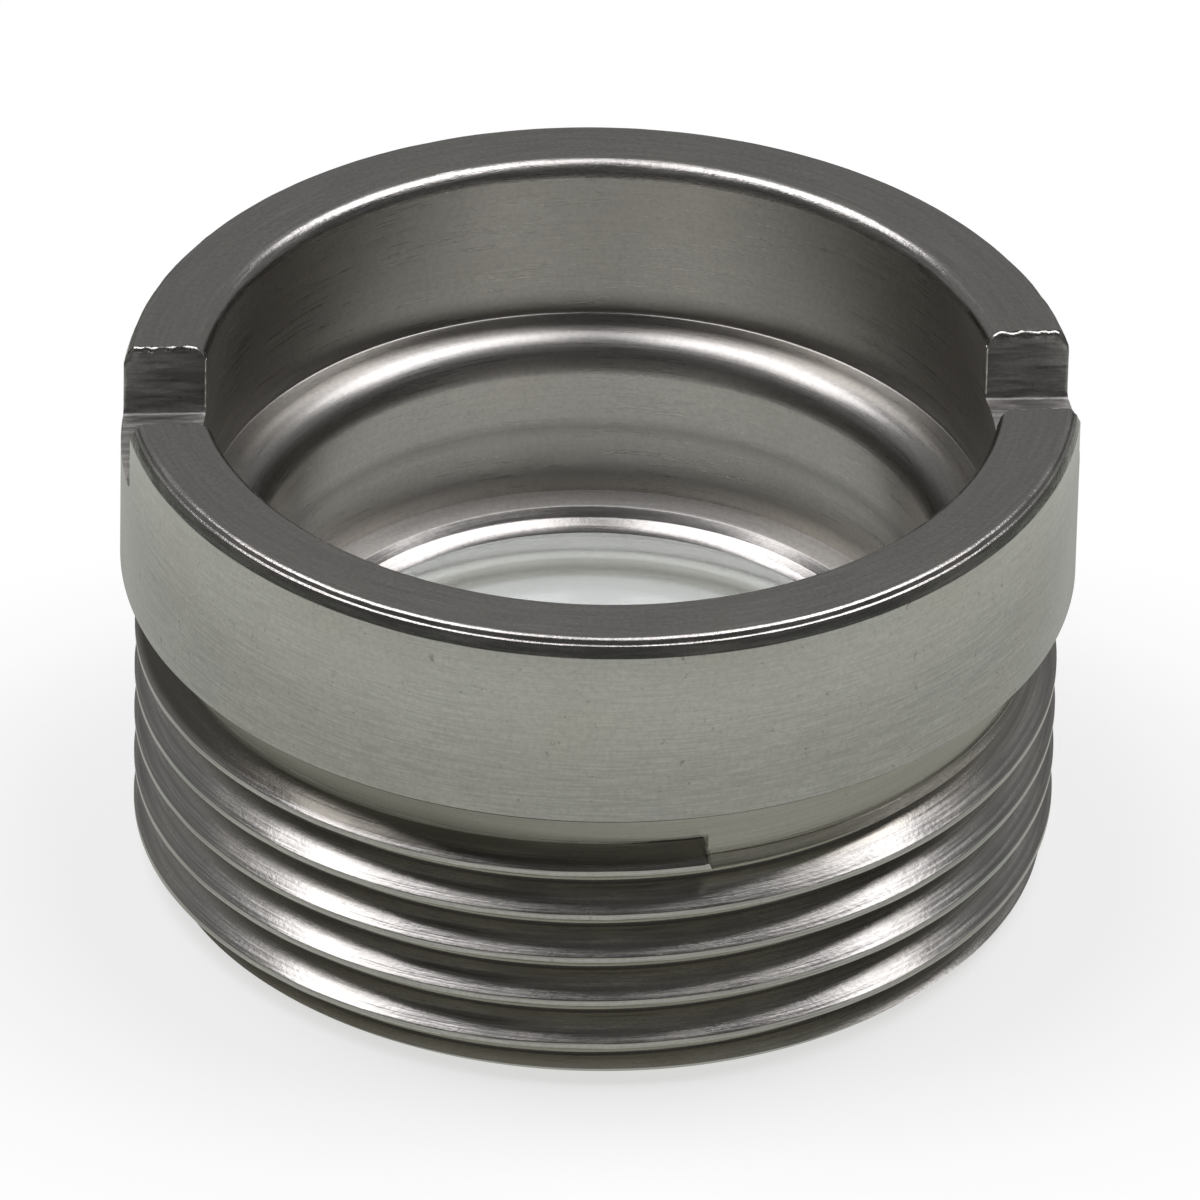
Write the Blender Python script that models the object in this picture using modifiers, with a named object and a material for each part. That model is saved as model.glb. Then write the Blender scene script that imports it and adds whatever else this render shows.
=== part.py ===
"""Mounted aspheric lens: a turned stainless steel cell, a moulded glass asphere and its adhesive bead.

The origin is at the centre of the threaded end face, +Z points to the slotted head, and the two
spanner slots lie along X. Sizes are in millimetres and become metres where a mesh is made.
"""

import math

import bmesh
import bpy
from mathutils import Matrix, Vector

MM = 0.001

# Facets of the turned shapes
SEGMENTS = 80
EDGE_STEPS = 3
OPTIC_STEPS = 5
BEAD_STEPS = 4
SMOOTH_UNDER = math.radians(24)

# Overall
TOTAL_HEIGHT = 5.20

# Head
HEAD_D = 9.27
HEAD_HEIGHT = 2.06
HEAD_EDGE_RADIAL = 0.11
HEAD_EDGE_AXIAL = 0.17
HEAD_UNDER_BREAK = 0.03
SHOULDER_SEAT_SHARE = 0.24
SHOULDER_UNDERCUT = 0.03
SLOT_WIDTH = 1.32
SLOT_DEPTH = 0.75

# M9 x 0.5 thread, right hand, with the ratios of the ISO metric profile
THREAD_D = 8.975
THREAD_PITCH = 0.50
THREAD_DEPTH_RATIO = 0.6134
CREST_LAND_RATIO = 0.125
FLANK_ANGLE = math.radians(30)
END_CHAMFER = 0.25
GROOVE_HEIGHT_AT_X = 0.343
PULL_OUT_ANGLE = math.radians(-79)
TOOL_TO_HEAD = 0.10
TOOL_PROUD = 0.07

# Relief between the head and the thread
RELIEF_WIDTH = 0.71
RELIEF_DEPTH = 0.24
RELIEF_SLOPE = 0.025

# Bore, from the rim down to the flange that stops the lens
RIM_EDGE = 0.17
BORE_D = 7.69
BORE_DEPTH = 1.725
LEDGE_EDGE = 0.20
LOWER_BORE_D = 6.60
LOWER_BORE_DEPTH = 3.46
FLANGE_THICKNESS = 0.28
APERTURE_D = 5.57
THROAT_CHAMFER = 0.085
THROAT_CONE_RADIAL = 0.085
THROAT_CONE_AXIAL = 0.040
THROAT_EDGE_RADIAL = 0.065
THROAT_EDGE_AXIAL = 0.045
LIP_UNDERCUT = 0.19

# Lens, and its pocket in the threaded end
LENS_D = 6.50
LENS_CENTRE = 1.40
LENS_CHAMFER = 0.08
OPTIC_D = 5.20
UPPER_RADIUS = 64.0
LOWER_RADIUS = 10.4
LOWER_CONIC = -0.60
LOWER_FOURTH = 2.0e-5
POCKET_CLEARANCE = 0.03
SEAT_CLEARANCE = 0.03
POCKET_CHAMFER = 0.08

# Adhesive bead in the corner between the lens and its pocket
BEAD_WIDTH = 0.38
BEAD_HEIGHT = 0.27
BEAD_TIP = 0.04
BEAD_CLEARANCE = 0.02

# Heights and radii that follow from those sizes
HEAD_R = HEAD_D / 2
THREAD_R = THREAD_D / 2
BORE_R = BORE_D / 2
LOWER_BORE_R = LOWER_BORE_D / 2
APERTURE_R = APERTURE_D / 2
LENS_R = LENS_D / 2
OPTIC_R = OPTIC_D / 2
POCKET_R = LENS_R + POCKET_CLEARANCE
HEAD_UNDERSIDE = TOTAL_HEIGHT - HEAD_HEIGHT
THREAD_TOP = HEAD_UNDERSIDE - RELIEF_WIDTH
LEDGE = TOTAL_HEIGHT - BORE_DEPTH
FLANGE_TOP = TOTAL_HEIGHT - LOWER_BORE_DEPTH
SEAT = FLANGE_TOP - FLANGE_THICKNESS


def clear_scene():
    for obj in list(bpy.data.objects):
        bpy.data.objects.remove(obj, do_unlink=True)


def collection(name):
    made = bpy.data.collections.new(name)
    bpy.context.scene.collection.children.link(made)
    return made


def material(name, colour, metallic, roughness, transmission=0.0, ior=1.45):
    made = bpy.data.materials.new(name)
    made.use_nodes = True
    shader = made.node_tree.nodes["Principled BSDF"]
    shader.inputs["Base Color"].default_value = (*colour, 1.0)
    shader.inputs["Metallic"].default_value = metallic
    shader.inputs["Roughness"].default_value = roughness
    shader.inputs["Transmission Weight"].default_value = transmission
    shader.inputs["IOR"].default_value = ior
    return made


def quarter(centre, radial, axial, start):
    """Points of a quarter turn, clockwise from the start angle, on an ellipse about the centre."""
    points = []
    for step in range(EDGE_STEPS + 1):
        angle = start - step / EDGE_STEPS * math.pi / 2
        points.append((centre[0] + radial * math.cos(angle), centre[1] + axial * math.sin(angle)))
    return points


def turned(name, profile, closed, parts):
    """A profile at +X, running down its outer side, turned about Z by a Screw modifier."""
    mesh = bpy.data.meshes.new(name)
    edges = [(i, i + 1) for i in range(len(profile) - 1)]
    if closed:
        edges.append((len(profile) - 1, 0))
    mesh.from_pydata([(r * MM, 0.0, z * MM) for r, z in profile], edges, [])
    obj = bpy.data.objects.new(name, mesh)
    parts.objects.link(obj)
    screw = obj.modifiers.new("turn", "SCREW")
    screw.axis = "Z"
    screw.angle = 2 * math.pi
    screw.steps = SEGMENTS
    screw.render_steps = SEGMENTS
    screw.use_merge_vertices = True
    screw.merge_threshold = 1.0e-6
    return obj


def cut(obj, cutter, name):
    boolean = obj.modifiers.new(name, "BOOLEAN")
    boolean.operation = "DIFFERENCE"
    boolean.solver = "EXACT"
    boolean.object = cutter


def hide_cutter(cutter):
    cutter.hide_render = True
    cutter.display_type = "WIRE"


def finish(obj, surface):
    """Applies the modifiers, then smooths the turned faces and keeps the machined edges sharp."""
    graph = bpy.context.evaluated_depsgraph_get()
    mesh = bpy.data.meshes.new_from_object(obj.evaluated_get(graph))
    obj.modifiers.clear()
    obj.data = mesh
    mesh.name = obj.name
    mesh.materials.clear()
    mesh.materials.append(surface)
    mesh.shade_smooth()
    mesh.set_sharp_from_angle(angle=SMOOTH_UNDER)


def cell_profile():
    """The turned outline of the cell, clockwise from the outer edge of the rim."""
    head_edge = quarter((HEAD_R - HEAD_EDGE_RADIAL, TOTAL_HEIGHT - HEAD_EDGE_AXIAL),
                        HEAD_EDGE_RADIAL, HEAD_EDGE_AXIAL, math.pi / 2)
    shoulder_r = HEAD_R - HEAD_UNDER_BREAK
    neck_r = THREAD_R - RELIEF_DEPTH
    # The shoulder is undercut as far as the thread reaches, and seats on its outer ring
    seat_r = shoulder_r - SHOULDER_SEAT_SHARE * (shoulder_r - neck_r)
    outside = [
        (HEAD_R, HEAD_UNDERSIDE + HEAD_UNDER_BREAK),
        (shoulder_r, HEAD_UNDERSIDE),
        (seat_r, HEAD_UNDERSIDE),
        (seat_r - SHOULDER_UNDERCUT, HEAD_UNDERSIDE + SHOULDER_UNDERCUT),
        (neck_r, HEAD_UNDERSIDE + SHOULDER_UNDERCUT),
        (neck_r, THREAD_TOP + RELIEF_SLOPE),
        (THREAD_R, THREAD_TOP),
        (THREAD_R, END_CHAMFER),
        (THREAD_R - END_CHAMFER, 0.0),
    ]
    # The flange thins to an edge over the lens, through a cone on its underside
    pocket = [
        (POCKET_R + POCKET_CHAMFER, 0.0),
        (POCKET_R, POCKET_CHAMFER),
        (POCKET_R, SEAT),
        (APERTURE_R + LIP_UNDERCUT, SEAT),
    ]
    edge_r = APERTURE_R + THROAT_EDGE_RADIAL
    cone_r = edge_r + THROAT_CONE_RADIAL
    cone_z = FLANGE_TOP - THROAT_CHAMFER
    edge_z = cone_z - THROAT_CONE_AXIAL
    throat = [
        (APERTURE_R, edge_z - THROAT_EDGE_AXIAL),
        (edge_r, edge_z),
        (cone_r, cone_z),
        (cone_r + THROAT_CHAMFER, FLANGE_TOP),
        (LOWER_BORE_R, FLANGE_TOP),
    ]
    ledge_edge = quarter((LOWER_BORE_R + LEDGE_EDGE, LEDGE - LEDGE_EDGE), LEDGE_EDGE, LEDGE_EDGE, math.pi)
    rim_edge = quarter((BORE_R + RIM_EDGE, TOTAL_HEIGHT - RIM_EDGE), RIM_EDGE, RIM_EDGE, math.pi)
    return head_edge + outside + pocket + throat + ledge_edge + [(BORE_R, LEDGE)] + rim_edge


def slot_cutter(cutters):
    """One bar across the rim cuts both spanner slots."""
    bpy.ops.mesh.primitive_cube_add(size=1.0)
    cutter = bpy.context.object
    cutter.name = "slot_cutter"
    for owner in list(cutter.users_collection):
        owner.objects.unlink(cutter)
    cutters.objects.link(cutter)
    size = Vector((HEAD_D + 2 * SLOT_WIDTH, SLOT_WIDTH, 2 * SLOT_DEPTH)) * MM
    place = Vector((0.0, 0.0, TOTAL_HEIGHT * MM))
    cutter.data.transform(Matrix.Translation(place) @ Matrix.Diagonal((*size, 1.0)))
    hide_cutter(cutter)
    return cutter


def thread_cutter(cutters):
    """The thread's groove: a flat-bottomed V spun up the axis, whose end lifts out of the relief."""
    depth = THREAD_DEPTH_RATIO * THREAD_PITCH
    half_top = (1 - CREST_LAND_RATIO) * THREAD_PITCH / 2
    half_outer = half_top + TOOL_PROUD * math.tan(FLANK_ANGLE)
    half_root = half_top - depth * math.tan(FLANK_ANGLE)
    section = [(THREAD_R + TOOL_PROUD, -half_outer), (THREAD_R + TOOL_PROUD, half_outer),
               (THREAD_R - depth, half_root), (THREAD_R - depth, -half_root)]

    full = 2 * math.pi
    rise = THREAD_PITCH / full
    highest = HEAD_UNDERSIDE - half_outer - TOOL_TO_HEAD
    turns = math.floor((highest - GROOVE_HEIGHT_AT_X) / THREAD_PITCH - PULL_OUT_ANGLE / full)
    step = full / SEGMENTS
    last = (round((turns * full + PULL_OUT_ANGLE) / step) + 0.5) * step
    run_in = (GROOVE_HEIGHT_AT_X + 2 * half_outer) / rise
    steps = math.ceil((last + run_in) / step)
    first = last - steps * step

    shape = bmesh.new()
    start = Matrix.Rotation(first, 4, "Z")
    base = GROOVE_HEIGHT_AT_X + rise * first
    corners = [shape.verts.new(start @ (Vector((r, 0.0, base + z)) * MM)) for r, z in section]
    face = shape.faces.new(corners)
    swept = bmesh.ops.spin(shape, geom=[face], cent=(0, 0, 0), axis=(0, 0, 1), angle=steps * step,
                           steps=steps, dvec=(0, 0, rise * step * MM), use_duplicate=False)
    for vert in [item for item in swept["geom_last"] if isinstance(item, bmesh.types.BMVert)]:
        outwards = Vector((vert.co.x, vert.co.y, 0.0)).normalized()
        vert.co += outwards * depth * MM
    bmesh.ops.recalc_face_normals(shape, faces=shape.faces)
    mesh = bpy.data.meshes.new("thread_cutter")
    shape.to_mesh(mesh)
    shape.free()
    cutter = bpy.data.objects.new("thread_cutter", mesh)
    cutters.objects.link(cutter)
    hide_cutter(cutter)
    return cutter


def sag(r, radius, conic=0.0, fourth=0.0):
    """Depth of an aspheric surface below its vertex."""
    curvature = 1 / radius
    root = math.sqrt(1 - (1 + conic) * (curvature * r) ** 2)
    return curvature * r ** 2 / (1 + root) + fourth * r ** 4


def upper_sag(r):
    return sag(r, UPPER_RADIUS)


def lower_sag(r):
    return sag(r, LOWER_RADIUS, LOWER_CONIC, LOWER_FOURTH)


def lens_flats():
    """Heights of the flat rims round the lens's two optical surfaces."""
    upper = SEAT - SEAT_CLEARANCE
    edge_thickness = LENS_CENTRE - upper_sag(OPTIC_R) - lower_sag(OPTIC_R)
    return upper, upper - edge_thickness


def lens_profile():
    """From the upper vertex out over the flat rim, down the edge and in to the lower vertex."""
    upper, lower = lens_flats()
    radii = [OPTIC_R * step / OPTIC_STEPS for step in range(OPTIC_STEPS + 1)]
    above = [(r, upper + upper_sag(OPTIC_R) - upper_sag(r)) for r in radii]
    below = [(r, lower - lower_sag(OPTIC_R) + lower_sag(r)) for r in reversed(radii)]
    edge = [
        (LENS_R - LENS_CHAMFER, upper),
        (LENS_R, upper - LENS_CHAMFER),
        (LENS_R, lower + LENS_CHAMFER),
        (LENS_R - LENS_CHAMFER, lower),
    ]
    return above + edge + below


def bead_profile():
    """A fillet with a hollow face, under the lens and against the pocket's wall."""
    outer = POCKET_R - BEAD_CLEARANCE
    inner = outer - BEAD_WIDTH
    top = lens_flats()[1] - BEAD_CLEARANCE
    bottom = top - BEAD_HEIGHT
    face = []
    for step in range(BEAD_STEPS + 1):
        angle = step / BEAD_STEPS * math.pi / 2
        r = inner + (BEAD_WIDTH - BEAD_TIP) * math.cos(angle)
        z = bottom + (BEAD_HEIGHT - BEAD_TIP) * math.sin(angle)
        face.append((r, z))
    return [(outer, top), (outer, bottom)] + face + [(inner, top)]


def build_cell(parts, cutters):
    steel = material("stainless_steel", (0.46, 0.45, 0.41), 1.0, 0.28)
    cell = turned("lens_cell", cell_profile(), True, parts)
    cut(cell, slot_cutter(cutters), "spanner_slots")
    cut(cell, thread_cutter(cutters), "thread")
    finish(cell, steel)


def build_lens(parts):
    glass = material("optical_glass", (0.97, 0.98, 0.98), 0.0, 0.02, transmission=1.0, ior=1.59)
    lens = turned("aspheric_lens", lens_profile(), False, parts)
    finish(lens, glass)


def build_bead(parts):
    adhesive = material("optical_adhesive", (0.62, 0.52, 0.30), 0.0, 0.35)
    bead = turned("adhesive_bead", bead_profile(), True, parts)
    finish(bead, adhesive)


def main():
    clear_scene()
    parts = collection("mounted_aspheric_lens")
    cutters = collection("cutters")
    build_cell(parts, cutters)
    build_lens(parts)
    build_bead(parts)


main()
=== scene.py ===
"""Mounted aspheric lens: turned cell, glass and adhesive bead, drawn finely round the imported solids.

The origin is at the centre of the threaded end face, +Z points to the slotted head, and the two
spanner slots lie along X. Sizes are in metres, written as millimetres times MM, and a name that
ends in _MM holds millimetres.
"""

import math

import bmesh
import bpy
from bpy.props import FloatProperty, FloatVectorProperty, PointerProperty
from mathutils import Matrix, Quaternion, Vector, noise


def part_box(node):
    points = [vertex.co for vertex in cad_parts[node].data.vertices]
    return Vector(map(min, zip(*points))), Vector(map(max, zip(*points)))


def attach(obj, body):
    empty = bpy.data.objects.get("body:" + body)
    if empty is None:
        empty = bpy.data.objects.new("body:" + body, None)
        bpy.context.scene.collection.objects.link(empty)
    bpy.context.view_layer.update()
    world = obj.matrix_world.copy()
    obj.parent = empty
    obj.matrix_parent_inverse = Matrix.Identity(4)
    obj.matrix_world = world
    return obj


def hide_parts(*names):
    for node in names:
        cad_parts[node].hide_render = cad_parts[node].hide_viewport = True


bl_info = {
    "name": "Mounted Aspheric Lens",
    "version": (1, 0, 0),
    "blender": (4, 5, 0),
    "location": "3D View > Sidebar > Mounted Lens",
    "description": "Builds a mounted aspheric lens and its studio round the packed solids",
    "category": "Object",
}

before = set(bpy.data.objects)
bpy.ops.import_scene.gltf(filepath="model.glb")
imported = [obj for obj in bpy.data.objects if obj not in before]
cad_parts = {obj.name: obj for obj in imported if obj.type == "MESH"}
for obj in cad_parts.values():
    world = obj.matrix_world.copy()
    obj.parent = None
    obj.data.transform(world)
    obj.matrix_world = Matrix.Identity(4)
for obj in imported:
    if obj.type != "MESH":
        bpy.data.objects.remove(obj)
CELL_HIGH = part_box("lens_cell")[1]
LENS_LOW, LENS_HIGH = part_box("aspheric_lens")
BEAD_LOW, BEAD_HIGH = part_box("adhesive_bead")

MM = 0.001
FULL_TURN = 2 * math.pi

# Steps round the turned shapes
CELL_STEPS = 384
LENS_STEPS = 192
MERGE_WITHIN = 1.0e-7
SMOOTH_UNDER = math.radians(28)

# Rim: three facets with narrow ridges between them on its outer edge, from the top down, as tilts
# in degrees and lengths in millimetres, and one rounding on its inner edge
RIM_FACETS = ((24, 0.034), (60, 0.045), (15, 0.020))
RIM_RADIAL = 0.11 * MM
RIM_AXIAL = 0.17 * MM
RIM_ROUND = 0.009 * MM
RIM_INNER = 0.17 * MM

# Head's underside, undercut inside its seat ring, and the relief above the thread
UNDER_BREAK = 0.03 * MM
SEAT_SHARE = 0.24
SHOULDER_UNDERCUT = 0.03 * MM
RELIEF_SLOPE = 0.025 * MM

# Flange over the lens, from its top down, and the lens's pocket
FLANGE_THICKNESS = 0.28 * MM
THROAT_CHAMFER = 0.085 * MM
THROAT_CONE_RADIAL = 0.085 * MM
THROAT_CONE_AXIAL = 0.040 * MM
THROAT_EDGE_RADIAL = 0.065 * MM
THROAT_EDGE_AXIAL = 0.045 * MM
LIP_UNDERCUT = 0.19 * MM
POCKET_CLEARANCE = 0.03 * MM
POCKET_CHAMFER = 0.08 * MM

# Roundings of the turned corners
BREAK_ROUND = 0.010 * MM
NECK_ROUND = 0.040 * MM
RIDGE_NECK_ROUND = 0.012 * MM
RIDGE_CREST_ROUND = 0.008 * MM
END_ROUND = 0.012 * MM
THROAT_ROUND = 0.008 * MM
LEDGE_ROUND = 0.40 * MM
BORE_CORNER_ROUND = 0.020 * MM

# The thread's last ridge stands over the shoulder up to the thread's end. Past it the ridge is
# gone, and the shoulder falls away at its crest.
RIDGE_AT_NECK = 0.23 * MM
RIDGE_AT_CREST = 0.09 * MM
RIDGE_GAP = math.radians(229)
RIDGE_FADE = math.radians(30)
SHOULDER_FALL = 0.08 * MM

# Painted shade above the ridge: the height of the ridge's lip where the painted shade starts
RIDGE_LIP_MM = 2.514

# Darker rings painted in the bore as reflections: middle height, half width and amount
PAINTED_REFLECTION_RINGS_MM = ((3.60, 0.16, 0.45), (2.49, 0.13, 0.50), (1.95, 0.15, 0.60))

# Thread: the cutter's last two sections are lifted out by the lift shares of its depth
DEPTH_RATIO = 0.6134
CREST_RATIO = 0.125
FLANK_ANGLE = math.radians(30)
GROOVE_HEIGHT_AT_X = 0.343 * MM
GROOVE_TURNS = 5
PULL_OUT_ANGLE = math.radians(-79)
MOUTH_WIDEN = 0.004 * MM
MOUTH_DEEP = 0.008 * MM
TOOL_PROUD = 0.03 * MM
TOOL_HALF = 0.243 * MM
ROOT_ROUND = 0.030 * MM
LIFT_SHARES = (0.22, 1.05)
NECK_SPARE = 0.002 * MM

# Slots: the radius that each run of the cutter's sections reaches, and about how far they lie apart.
# The lip's drop and reach are shares of its radius, SLOT_LIP.
SLOT_FROM = 3.50 * MM
SLOT_RUNS_MM = ((3.75, 0.05), (3.87, 0.012), (4.52, 0.034), (4.64, 0.012), (4.92, 0.07))
SLOT_LIP = 0.045 * MM
LIP_STEPS = 5
LIP_SWEEP = math.radians(76)
LIP_DROP = 0.97
LIP_REACH = 1.35
OVER_TOP = (0.05 * MM, 0.30 * MM)
SLOT_CORNER = 0.05 * MM
SLOT_ROWS = 14
FAR_FLARE = 0.016 * MM
NEAR_FLARE = 0.050 * MM

# Lens and adhesive bead
OPTIC_STEPS = 24
LOWER_FOURTH = 2.0e-5 / MM ** 3
BEAD_WIDTH = 0.38 * MM
BEAD_TIP = 0.04 * MM
BEAD_STEPS = 12

# The cell's finishes, in the order of its material slots
FACED, BAND, BORED, MILLED, THREADED, END, SLOT_FLOOR, EDGE, LIP, POCKET, FLANGE, LEDGE = range(12)

# Studio
FLOOR_RADIUS = 0.9
FLOOR_GAP = 0.01 * MM
LAMP_DISTANCE = 0.30
CAMERA_TARGET_MM = (0.031, -0.002, 2.624)
CAMERA_FOCAL_MM = 573.5


class MountedLensCellSizes(bpy.types.PropertyGroup):
    """Sizes and colours of the turned cell"""

    head_height: FloatProperty(
        name="Head height", description="From the shoulder to the rim",
        default=2.06 * MM, unit="LENGTH", subtype="DISTANCE", precision=5)
    thread_diameter: FloatProperty(
        name="Thread diameter", description="Over the crests of the thread",
        default=8.975 * MM, unit="LENGTH", subtype="DISTANCE", precision=5)
    pitch: FloatProperty(
        name="Pitch", description="Rise of the thread in one turn",
        default=0.5 * MM, unit="LENGTH", subtype="DISTANCE", precision=5)
    relief_width: FloatProperty(
        name="Relief width", description="Length of the relief above the thread",
        default=0.71 * MM, unit="LENGTH", subtype="DISTANCE", precision=5)
    relief_depth: FloatProperty(
        name="Relief depth", description="How far the neck lies inside the crests",
        default=0.24 * MM, unit="LENGTH", subtype="DISTANCE", precision=5)
    end_chamfer: FloatProperty(
        name="End chamfer", description="Chamfer where the thread starts",
        default=0.25 * MM, unit="LENGTH", subtype="DISTANCE", precision=5)
    bore_diameter: FloatProperty(
        name="Bore diameter", description="Wide bore under the rim",
        default=7.69 * MM, unit="LENGTH", subtype="DISTANCE", precision=5)
    bore_depth: FloatProperty(
        name="Bore depth", description="From the rim to the ledge",
        default=1.725 * MM, unit="LENGTH", subtype="DISTANCE", precision=5)
    lower_bore_diameter: FloatProperty(
        name="Lower bore diameter", description="Narrow bore under the ledge",
        default=6.60 * MM, unit="LENGTH", subtype="DISTANCE", precision=5)
    lower_bore_depth: FloatProperty(
        name="Lower bore depth", description="From the rim to the flange",
        default=3.46 * MM, unit="LENGTH", subtype="DISTANCE", precision=5)
    aperture_diameter: FloatProperty(
        name="Aperture", description="Clear hole in the flange over the lens",
        default=5.57 * MM, unit="LENGTH", subtype="DISTANCE", precision=5)
    slot_width: FloatProperty(
        name="Slot width", description="Width of the two spanner slots",
        default=1.32 * MM, unit="LENGTH", subtype="DISTANCE", precision=5)
    slot_depth: FloatProperty(
        name="Slot depth", description="Depth of the two spanner slots",
        default=0.75 * MM, unit="LENGTH", subtype="DISTANCE", precision=5)
    steel: FloatVectorProperty(
        name="Steel", description="Colour of the bright steel",
        default=(0.59, 0.575, 0.55), subtype="COLOR", size=3, min=0.0, max=1.0)
    # Painted shade: the colour the steel darkens to deep in the thread, also the end face's colour
    painted_root_shade: FloatVectorProperty(
        name="Painted root shade", description="Colour of the steel deep in the thread",
        default=(0.42, 0.395, 0.34), subtype="COLOR", size=3, min=0.0, max=1.0)


class MountedLensGlassSizes(bpy.types.PropertyGroup):
    """Sizes and colours of the lens and its adhesive"""

    optic_diameter: FloatProperty(
        name="Optic diameter", description="Width of the two curved faces",
        default=5.20 * MM, unit="LENGTH", subtype="DISTANCE", precision=5)
    upper_radius: FloatProperty(
        name="Upper radius", description="Radius of the face towards the slots",
        default=64.0 * MM, unit="LENGTH", subtype="DISTANCE", precision=4)
    lower_radius: FloatProperty(
        name="Lower radius", description="Radius at the vertex of the aspheric face",
        default=10.4 * MM, unit="LENGTH", subtype="DISTANCE", precision=4)
    lower_conic: FloatProperty(
        name="Conic constant", description="Conic constant of the aspheric face", default=-0.60)
    lens_chamfer: FloatProperty(
        name="Edge chamfer", description="Chamfer round both rims of the lens",
        default=0.08 * MM, unit="LENGTH", subtype="DISTANCE", precision=5)
    glass: FloatVectorProperty(
        name="Glass", description="Tint of the moulded glass",
        default=(0.985, 0.99, 0.985), subtype="COLOR", size=3, min=0.0, max=1.0)
    resin: FloatVectorProperty(
        name="Adhesive", description="Colour of the cured adhesive",
        default=(1.0, 0.995, 0.97), subtype="COLOR", size=3, min=0.0, max=1.0)


class MountedLensStudio(bpy.types.PropertyGroup):
    """The floor, the lamps and the camera"""

    card: FloatVectorProperty(
        name="Card", description="What the steel mirrors of the floor",
        default=(0.615, 0.635, 0.59), subtype="COLOR", size=3, min=0.0, max=1.0)
    card_through: FloatVectorProperty(
        name="Card through glass", description="What is seen of the floor through the lens",
        default=(0.98, 1.0, 0.99), subtype="COLOR", size=3, min=0.0, max=1.0)
    lamp_power: FloatProperty(
        name="Lamp power", description="Power of each of the two soft boxes",
        default=0.345, unit="POWER", precision=3)
    elevation: FloatProperty(
        name="Elevation", description="Height of the camera over the horizon",
        default=math.radians(33.56), unit="ROTATION", subtype="ANGLE")
    azimuth: FloatProperty(
        name="Azimuth", description="Turn of the camera from the front",
        default=math.radians(-4.25), unit="ROTATION", subtype="ANGLE")
    roll: FloatProperty(
        name="Roll", description="Roll of the camera about its own axis",
        default=math.radians(1.29), unit="ROTATION", subtype="ANGLE")
    distance: FloatProperty(
        name="Distance", description="From the camera to the point it looks at",
        default=185.8 * MM, unit="LENGTH", subtype="DISTANCE", precision=4)


def select_only(obj):
    bpy.ops.object.select_all(action="DESELECT")
    obj.select_set(True)
    bpy.context.view_layer.objects.active = obj


def draw_outline(name, points, rounds=()):
    """A closed outline extruded point by point in the XZ plane, then rounded at its corners."""
    bpy.ops.object.select_all(action="DESELECT")
    bpy.ops.mesh.primitive_plane_add(size=MM, enter_editmode=True)
    obj = bpy.context.object
    obj.name = name
    obj.data.name = name
    bpy.ops.mesh.select_all(action="SELECT")
    bpy.ops.mesh.merge(type="CENTER")
    corners = [Vector((r, 0.0, z)) for r, z in points]
    bpy.ops.transform.translate(value=corners[0])
    for before, after in zip(corners, corners[1:]):
        bpy.ops.mesh.extrude_region_move(TRANSFORM_OT_translate={"value": after - before})
    bpy.ops.mesh.select_all(action="SELECT")
    bpy.ops.mesh.edge_face_add()
    bpy.ops.mesh.delete(type="ONLY_FACE")
    bpy.ops.mesh.select_mode(type="VERT")
    for (r, z), radius, segments in rounds:
        shape = bmesh.from_edit_mesh(obj.data)
        place = Vector((r, 0.0, z))
        nearest = min(shape.verts, key=lambda vert: (vert.co - place).length)
        for vert in shape.verts:
            vert.select_set(vert is nearest)
        shape.select_flush_mode()
        bmesh.update_edit_mesh(obj.data)
        bpy.ops.mesh.bevel(offset=radius, segments=segments, affect="VERTICES", clamp_overlap=True)
    return obj


def turn_outline(obj, steps):
    """Spins the outline in edit mode into a closed turned shape."""
    bpy.ops.mesh.select_all(action="SELECT")
    bpy.ops.mesh.spin(steps=steps, dupli=False, angle=FULL_TURN, center=(0, 0, 0), axis=(0, 0, 1))
    bpy.ops.mesh.select_all(action="SELECT")
    bpy.ops.mesh.remove_doubles(threshold=MERGE_WITHIN)
    bpy.ops.mesh.normals_make_consistent(inside=False)
    bpy.ops.object.mode_set(mode="OBJECT")


def carve(obj, cutter):
    """Cuts one closed shape out of another and removes the cutter."""
    select_only(obj)
    boolean = obj.modifiers.new(cutter.name, "BOOLEAN")
    boolean.operation = "DIFFERENCE"
    boolean.solver = "EXACT"
    boolean.object = cutter
    bpy.ops.object.modifier_apply(modifier=boolean.name)
    bpy.data.objects.remove(cutter, do_unlink=True)


def dress(obj, node_name):
    """Smooths the turned faces, evens their normals and sets the piece in the frame."""
    select_only(obj)
    bpy.ops.object.shade_smooth_by_angle(angle=SMOOTH_UNDER)
    weighted = obj.modifiers.new("even_normals", "WEIGHTED_NORMAL")
    weighted.keep_sharp = True
    weighted.weight = 60
    bpy.ops.object.modifier_apply(modifier=weighted.name)
    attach(obj, "root")
    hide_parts(node_name)


def wander(place, reach, wavelength, seed):
    """A smooth random shift, the same at each run."""
    return reach * noise.noise(Vector(place) / wavelength + Vector((seed, seed / 3, 0.0)))


def rim_facets(top_r, top_z, head_r):
    """Corners of the rim's outer edge, from the top face down to the band."""
    corners = [(top_r, top_z)]
    r, z = top_r, top_z
    for tilt, length in RIM_FACETS:
        r += length * MM * math.cos(math.radians(tilt))
        z -= length * MM * math.sin(math.radians(tilt))
        corners.append((r, z))
    corners.append((head_r, top_z - RIM_AXIAL))
    return corners


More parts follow.
